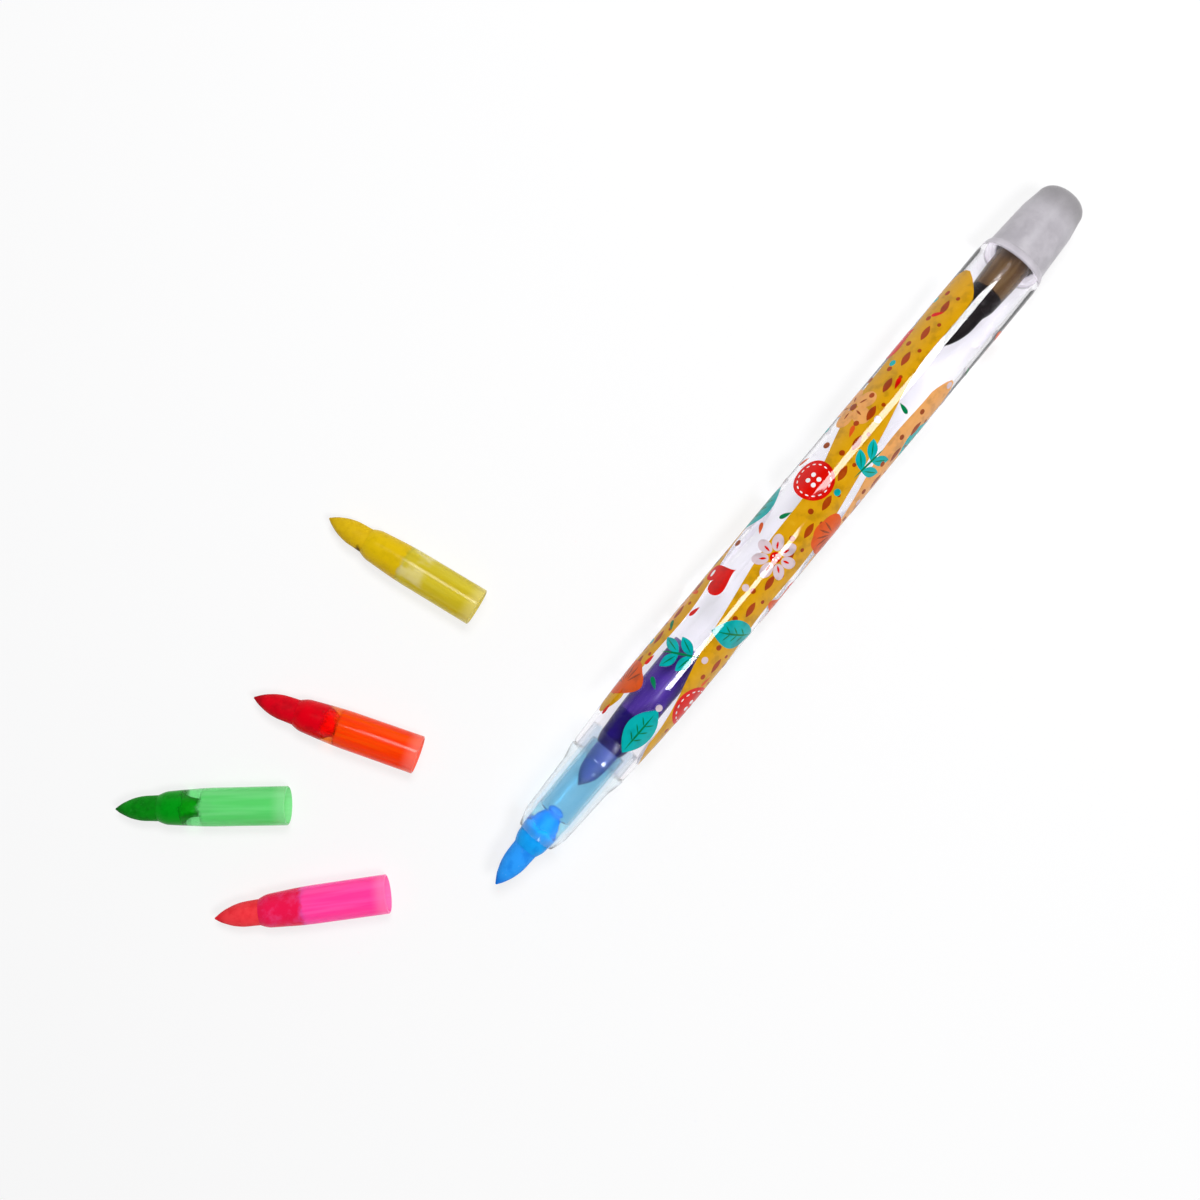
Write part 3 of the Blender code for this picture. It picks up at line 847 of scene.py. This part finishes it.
class Artwork:
    """The print laid flat in millimetres: X is the station, Y the way round. Each ink has its own bmesh."""

    def __init__(self):
        self.inks = {ink: bmesh.new() for ink in INKS}
        self.taken = []

    def patch(self, ink, place, centre, radii, turn=0.0, mould=None, sides=32):
        """One closed patch of ink: a circle, moulded, stretched to its radii, turned and put in place."""
        shape = self.inks[ink]
        verts = bmesh.ops.create_circle(shape, cap_ends=True, segments=sides, radius=1.0)["verts"]
        if mould:
            for vert in verts:
                vert.co = mould(vert.co)
        turned = Matrix.Translation((*centre, 0.0)) @ Matrix.Rotation(math.radians(turn), 4, "Z")
        bmesh.ops.transform(shape, matrix=place @ turned @ Matrix.Diagonal((*radii, 1.0, 1.0)), verts=verts)

    def ring(self, ink, place, count, reach, radii, first=0.0, mould=None, sides=24):
        """Patches set round a centre, each turned outwards."""
        for step in range(count):
            turn = first + 360.0 * step / count
            centre = (reach * math.cos(math.radians(turn)), reach * math.sin(math.radians(turn)))
            self.patch(ink, place, centre, radii, turn, mould, sides)

    def daisy(self, place):
        self.ring("blossom", place, 7, 0.64, (0.36, 0.25))
        self.ring("red", place, 7, 0.52, (0.17, 0.05), mould=leaf, sides=12)
        self.patch("red", place, (0.0, 0.0), (0.24, 0.24))
        self.ring("white", place, 5, 0.12, (0.035, 0.035), sides=8)

    def sprig(self, place):
        self.patch("leaf_green", place, (-0.1, 0.0), (0.88, 0.05), mould=leaf, sides=16)
        for side in (-1, 1):
            for centre, turn in (((-0.28, side * 0.36), side * 52.0), ((0.36, side * 0.33), side * 42.0)):
                self.patch("teal", place, centre, (0.46, 0.23), turn, leaf)
                self.patch("leaf_green", place, centre, (0.34, 0.03), turn, leaf, 12)

    def button(self, place):
        self.patch("red", place, (0.0, 0.0), (0.86, 0.86))
        self.ring("white", place, 16, 0.68, (0.028, 0.075), sides=12)
        self.ring("white", place, 4, 0.22, (0.1, 0.1), 45.0, sides=12)

    def scallop(self, place):
        self.patch("orange", place, (0.0, -0.45), (1.0, 1.3), 0.0, shell, 64)
        for turn in (30.0, 54.0, 78.0, 102.0, 126.0, 150.0):
            centre = (0.55 * math.cos(math.radians(turn)), 0.62 * math.sin(math.radians(turn)) - 0.4)
            self.patch("brown", place, centre, (0.36, 0.045), turn, leaf, 12)

    def sweetheart(self, place):
        self.patch("red", place, (0.0, 0.0), (0.82, 0.82), 0.0, heart, 48)
        self.patch("white", place, (-0.4, 0.24), (0.17, 0.08), 48.0)

    def big_leaf(self, place):
        self.patch("teal", place, (0.0, 0.0), (1.05, 0.62), 0.0, leaf, 40)
        self.patch("leaf_green", place, (-0.05, 0.0), (0.9, 0.045), 0.0, leaf, 12)
        for side in (-1, 1):
            for foot in (-0.45, -0.1, 0.25):
                rib = (foot + 0.12, side * 0.16)
                self.patch("leaf_green", place, rib, (0.2, 0.03), side * 48.0, leaf, 12)

    def spark(self, place):
        self.patch("orange", place, (0.0, 0.0), (0.95, 0.95), 0.0, star, 60)
        self.patch("brown", place, (0.0, 0.0), (0.2, 0.2))
        self.ring("brown", place, 5, 0.42, (0.11, 0.04), 90.0, leaf, 12)

    def bloom(self, place):
        self.ring("peach", place, 5, 0.55, (0.4, 0.33))
        self.ring("brown", place, 5, 0.42, (0.16, 0.04), 0.0, leaf, 12)
        self.patch("brown", place, (0.0, 0.0), (0.16, 0.16))

    def ribbon(self, ground, marks, start, end, half_width):
        """Wavy ribbon from start to end (station, arc) that runs out at both, with lozenges and dots."""
        length = end[0] - start[0]
        climb = (end[1] - start[1]) / length

        def middle_at(station):
            return start[1] + climb * (station - start[0]) + 0.8 * math.sin(station / 7.0 + start[1])

        shape = self.inks[ground]
        verts = bmesh.ops.create_grid(shape, x_segments=round(length), y_segments=1, size=1.0)["verts"]
        for vert in verts:
            station = start[0] + length * (vert.co.x + 1) / 2
            width = half_width + 0.35 * math.sin(station / 4.1 + start[1])
            width *= min(1.0, 0.05 + (1 - abs(vert.co.x)) * length / 8) ** 0.6
            vert.co = (station, middle_at(station) + vert.co.y * width, 0.0)
        turn = math.degrees(math.atan(climb))
        level = Matrix.Identity(4)
        for step in range(int((length - 6) / LOZENGE_STEP)):
            station = start[0] + 5.0 + LOZENGE_STEP * step
            self.patch(marks, level, (station, middle_at(station) + 0.5), (1.5, 0.62), turn, leaf, 20)
            for ahead, aside, size in ((2.6, -1.1, 0.5), (2.3, 1.7, 0.36)):
                centre = (station + ahead, middle_at(station + ahead) + aside)
                self.patch(marks, level, centre, (size, size), sides=16)

    def draw(self):
        """Three ribbons, motifs on a spiral of even spacing and small marks between them."""
        self.ribbon("amber", "rust", (PRINT_START, 8.5), (PRINT_END, -7.0), 3.6)
        self.ribbon("amber", "rust", (PRINT_START + 3.0, -6.5), (80.0, -11.5), 2.8)
        self.ribbon("peach", "brown", (72.0, 9.5), (114.0, 5.0), 2.6)
        motifs = (
            self.daisy, self.big_leaf, self.scallop, self.button, self.sprig,
            self.bloom, self.big_leaf, self.sweetheart, self.spark,
        )
        for step in range(MOTIF_TRIES):
            station = PRINT_START + 4.8 + MOTIF_STEP * step
            arc = ROUND * ((0.55 + step * GOLDEN_SHARE) % 1.0 - 0.5)
            if self.takes(station, arc, MOTIF_ROOM):
                size = 4.4 + 0.4 * math.sin(2.3 * step)
                turn = Matrix.Rotation(MARK_TURN * step, 4, "Z")
                place = Matrix.Translation((station, arc, 0.0)) @ turn @ Matrix.Scale(size, 4)
                motifs[len(self.taken) % len(motifs)](place)
        fillers = ("red", "teal", "orange", "blossom", "leaf_green", "brown")
        for step in range(FILLER_TRIES):
            station = PRINT_START + 2.5 + FILLER_STEP * step
            arc = ROUND * ((0.2 + step * GOLDEN_SHARE) % 1.0 - 0.5)
            if self.takes(station, arc, FILLER_ROOM):
                colour = fillers[len(self.taken) % len(fillers)]
                turn = Matrix.Rotation(MARK_TURN * step, 4, "Z")
                place = Matrix.Translation((station, arc, 0.0)) @ turn
                if len(self.taken) % 2:
                    self.patch(colour, place, (0.0, 0.0), (0.62, 0.62), sides=20)
                else:
                    self.patch(colour, place, (0.0, 0.0), (1.15, 0.55), 0.0, drop, 20)

    def takes(self, station, arc, radius):
        """Takes the place if it is off the bare parts and off every mark so far."""
        if abs(arc) > PRINT_HALF or (station > BARE_FROM and abs(arc) < BARE_HALF):
            return False
        if any(math.hypot(station - mark[0], arc - mark[1]) < radius + mark[2] for mark in self.taken):
            return False
        self.taken.append((station, arc, radius))
        return True

    def wrapped(self, ink):
        """The ink cut into strips that follow the barrel, given its thickness and wrapped round.

        Wrapping mirrors the sheet, so its faces are turned round at the end.
        """
        shape = self.inks[ink]
        bmesh.ops.triangulate(shape, faces=shape.faces)
        shape.normal_update()
        bmesh.ops.reverse_faces(shape, faces=[face for face in shape.faces if face.normal.z < 0.0])
        grip = [GRIP_START + GRIP_LENGTH * step / GRIP_CUTS for step in range(GRIP_CUTS + 1)]
        low = min(vert.co.y for vert in shape.verts)
        high = max(vert.co.y for vert in shape.verts)
        strips = [STRIP * step for step in range(math.ceil(low / STRIP), math.floor(high / STRIP) + 1)]
        cuts = [((station, 0.0, 0.0), (1.0, 0.0, 0.0)) for station in grip]
        cuts += [((0.0, arc, 0.0), (0.0, 1.0, 0.0)) for arc in strips]
        for centre, normal in cuts:
            every = [*shape.verts, *shape.edges, *shape.faces]
            bmesh.ops.bisect_plane(shape, geom=every, dist=CUT_ROOM, plane_co=centre, plane_no=normal)
        bmesh.ops.solidify(shape, geom=shape.faces[:], thickness=INK_FILM)
        under = min(vert.co.z for vert in shape.verts)
        for face in shape.faces:
            face.material_index = 1 if face.calc_center_median().z < under + INK_FILM / 4 else 0
        base = under - INK_LIFT - INK_LAYER * list(INKS).index(ink)
        for vert in shape.verts:
            station, arc, rise = vert.co
            angle = math.tau * arc / ROUND
            radius = (barrel_outside(station) * TUBE_SEAT + rise - base) * MM
            vert.co = (-station * MM, radius * math.sin(angle), radius * math.cos(angle))
        bmesh.ops.reverse_faces(shape, faces=shape.faces)
        return shape


def add_print(axis):
    """Each ink as its own film on the barrel, with the undercoat on its inner face."""
    artwork = Artwork()
    artwork.draw()
    base = undercoat()
    for name, (body, worn) in INKS.items():
        film = finished(name + "_print", artwork.wrapped(name), axis, ink(name, body, worn), "barrel")
        film.data.materials.append(base)


def lumpy(shape):
    """Uneven wax: corners move in and out a little, more so behind the collar."""
    for vert in shape.verts:
        swell = min(max((-vert.co.x / MM - LUMPS_START) / LUMPS_LENGTH, 0.25), 1.0)
        push = noise.noise(vert.co / (LUMP_SIZE * MM)) * LUMP_DEPTH * MM * swell
        out = Vector((0.0, vert.co.y, vert.co.z))
        if out.length > 0.2 * MM:
            vert.co += out.normalized() * push


def add_point(colour, point):
    """Holder and crayon of one point."""
    place = point_place(colour)
    holder = spun(holder_profile(), POINT_SEAT, HOLDER_SIDES)
    finished(
        colour + "_sleeve", holder, place, tinted_plastic(colour, point.holder, point.skin), point.body,
        colour + "_holder",
    )
    crayon = spun(crayon_profile(point.root), POINT_SEAT, CRAYON_SIDES)
    lumpy(crayon)
    finished(
        colour + "_wax_point", crayon, place, cast_wax(colour, point.wax), point.body,
        colour + "_crayon",
    )


def add_tubes(axis):
    """Barrel, nose cone and cap on the pencil's axis."""
    pale = (0.978, 0.970, 0.995)
    lavender = clear_plastic("clear_polystyrene", (0.955, 0.945, 0.985), pale, (0.015, 0.07), pale)
    barrel = spun(barrel_profile(), TUBE_SEAT, TUBE_SIDES)
    finished("barrel_tube", barrel, axis, lavender, "barrel", "barrel")
    bluish = clear_plastic(
        "bluish_polystyrene", (0.84, 0.925, 0.98), (0.89, 0.95, 0.99), (0.10, 0.15), (0.75, 0.81, 0.85),
    )
    nose = spun(nose_profile(), TUBE_SEAT, TUBE_SIDES)
    finished("nose_tube", nose, axis, bluish, "barrel", "nose_cone")
    cap = spun(cap_profile(), TUBE_SEAT, TUBE_SIDES)
    finished("cap_shell", cap, axis, frosted_plastic(), "tail_cap", "tail_cap")


def softbox(name, centre, size, radiance):
    """Rectangular lamp that faces straight down."""
    lamp = bpy.data.lights.new(name, "AREA")
    lamp.shape = "RECTANGLE"
    lamp.size, lamp.size_y = size
    lamp.energy = radiance * math.pi * size[0] * size[1]
    stand = bpy.data.objects.new(name, lamp)
    stand.location = centre
    bpy.context.collection.objects.link(stand)


def light_the_room():
    """Two long softboxes overhead, and a room that is palest at the horizon.

    It looks paler than it lights, to the camera and in the gloss and the clear pieces.
    """
    softbox("front_softbox", (-0.0085, 0.185, LAMP_HEIGHT), (0.121, 0.14), 22.8)
    softbox("rear_softbox", (-0.1625, -0.105, LAMP_HEIGHT), (0.145, 0.18), 20.6)
    world = bpy.data.worlds.new("pale_room")
    bpy.context.scene.world = world
    room = Nodes(world, "ShaderNodeOutputWorld")
    direction = room.node("ShaderNodeTexCoord", {}, {}, "Generated")
    height = room.node("ShaderNodeSeparateXYZ", {}, {0: direction}, "Z")
    low, high = TONE_EDGE
    rise = room.node("ShaderNodeMapRange", {}, {"Value": height, "From Min": low, "From Max": high})
    tone = room.blend(rise, HORIZON, OVERHEAD)
    strength = room.seen() * (SEEN_STRENGTH - 1.0) + 1.0
    room.surface(room.node("ShaderNodeBackground", {}, {"Color": tone, "Strength": strength}))


def lay_floor():
    """Pale floor that shows white to the camera, also through the clear pieces, and keeps the shadows."""
    shape = bmesh.new()
    bmesh.ops.create_grid(shape, x_segments=1, y_segments=1, size=FLOOR_HALF)
    bmesh.ops.translate(shape, verts=shape.verts, vec=(0.0, 0.0, -FLOOR_DROP))
    mesh = bpy.data.meshes.new("floor")
    shape.to_mesh(mesh)
    shape.free()
    floor = bpy.data.objects.new("floor", mesh)
    bpy.context.collection.objects.link(floor)
    finish = Finish("pale_floor")
    matt = finish.node("ShaderNodeBsdfDiffuse", {}, {"Color": (0.93, 0.93, 0.935)})
    glow = finish.node("ShaderNodeEmission", {}, {"Color": (1.0, 1.0, 1.0), "Strength": 1.0})
    mesh.materials.append(finish.done(finish.mix(finish.seen() * FLOOR_SHARE, matt, glow)))


def set_camera(axis_height):
    """Straight above the set, with the pencil turned on the picture as in the photograph."""
    lens = bpy.data.cameras.new("camera")
    lens.sensor_width = SENSOR_WIDTH
    lens.lens = SENSOR_WIDTH * CAMERA_ABOVE / WIDTH_SEEN
    lens.clip_start = NEAREST_SEEN
    camera = bpy.data.objects.new("camera", lens)
    turn = Matrix((PICTURE_RIGHT, PICTURE_UP, PICTURE_RIGHT.cross(PICTURE_UP))).transposed().to_4x4()
    camera.matrix_world = Matrix.Translation((*CAMERA_PLACE, axis_height + CAMERA_ABOVE)) @ turn
    bpy.context.collection.objects.link(camera)
    bpy.context.scene.camera = camera


def main():
    bpy.context.scene.view_settings.view_transform = "Standard"
    low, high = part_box("barrel")
    axis_height = (low.z + high.z) / 2
    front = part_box("blue_crayon")[1].x
    set_camera(axis_height)
    lay_floor()
    light_the_room()
    axis = Matrix.Translation((front, 0.0, axis_height))
    add_tubes(axis)
    add_print(axis)
    for colour, point in POINTS.items():
        add_point(colour, point)


main()
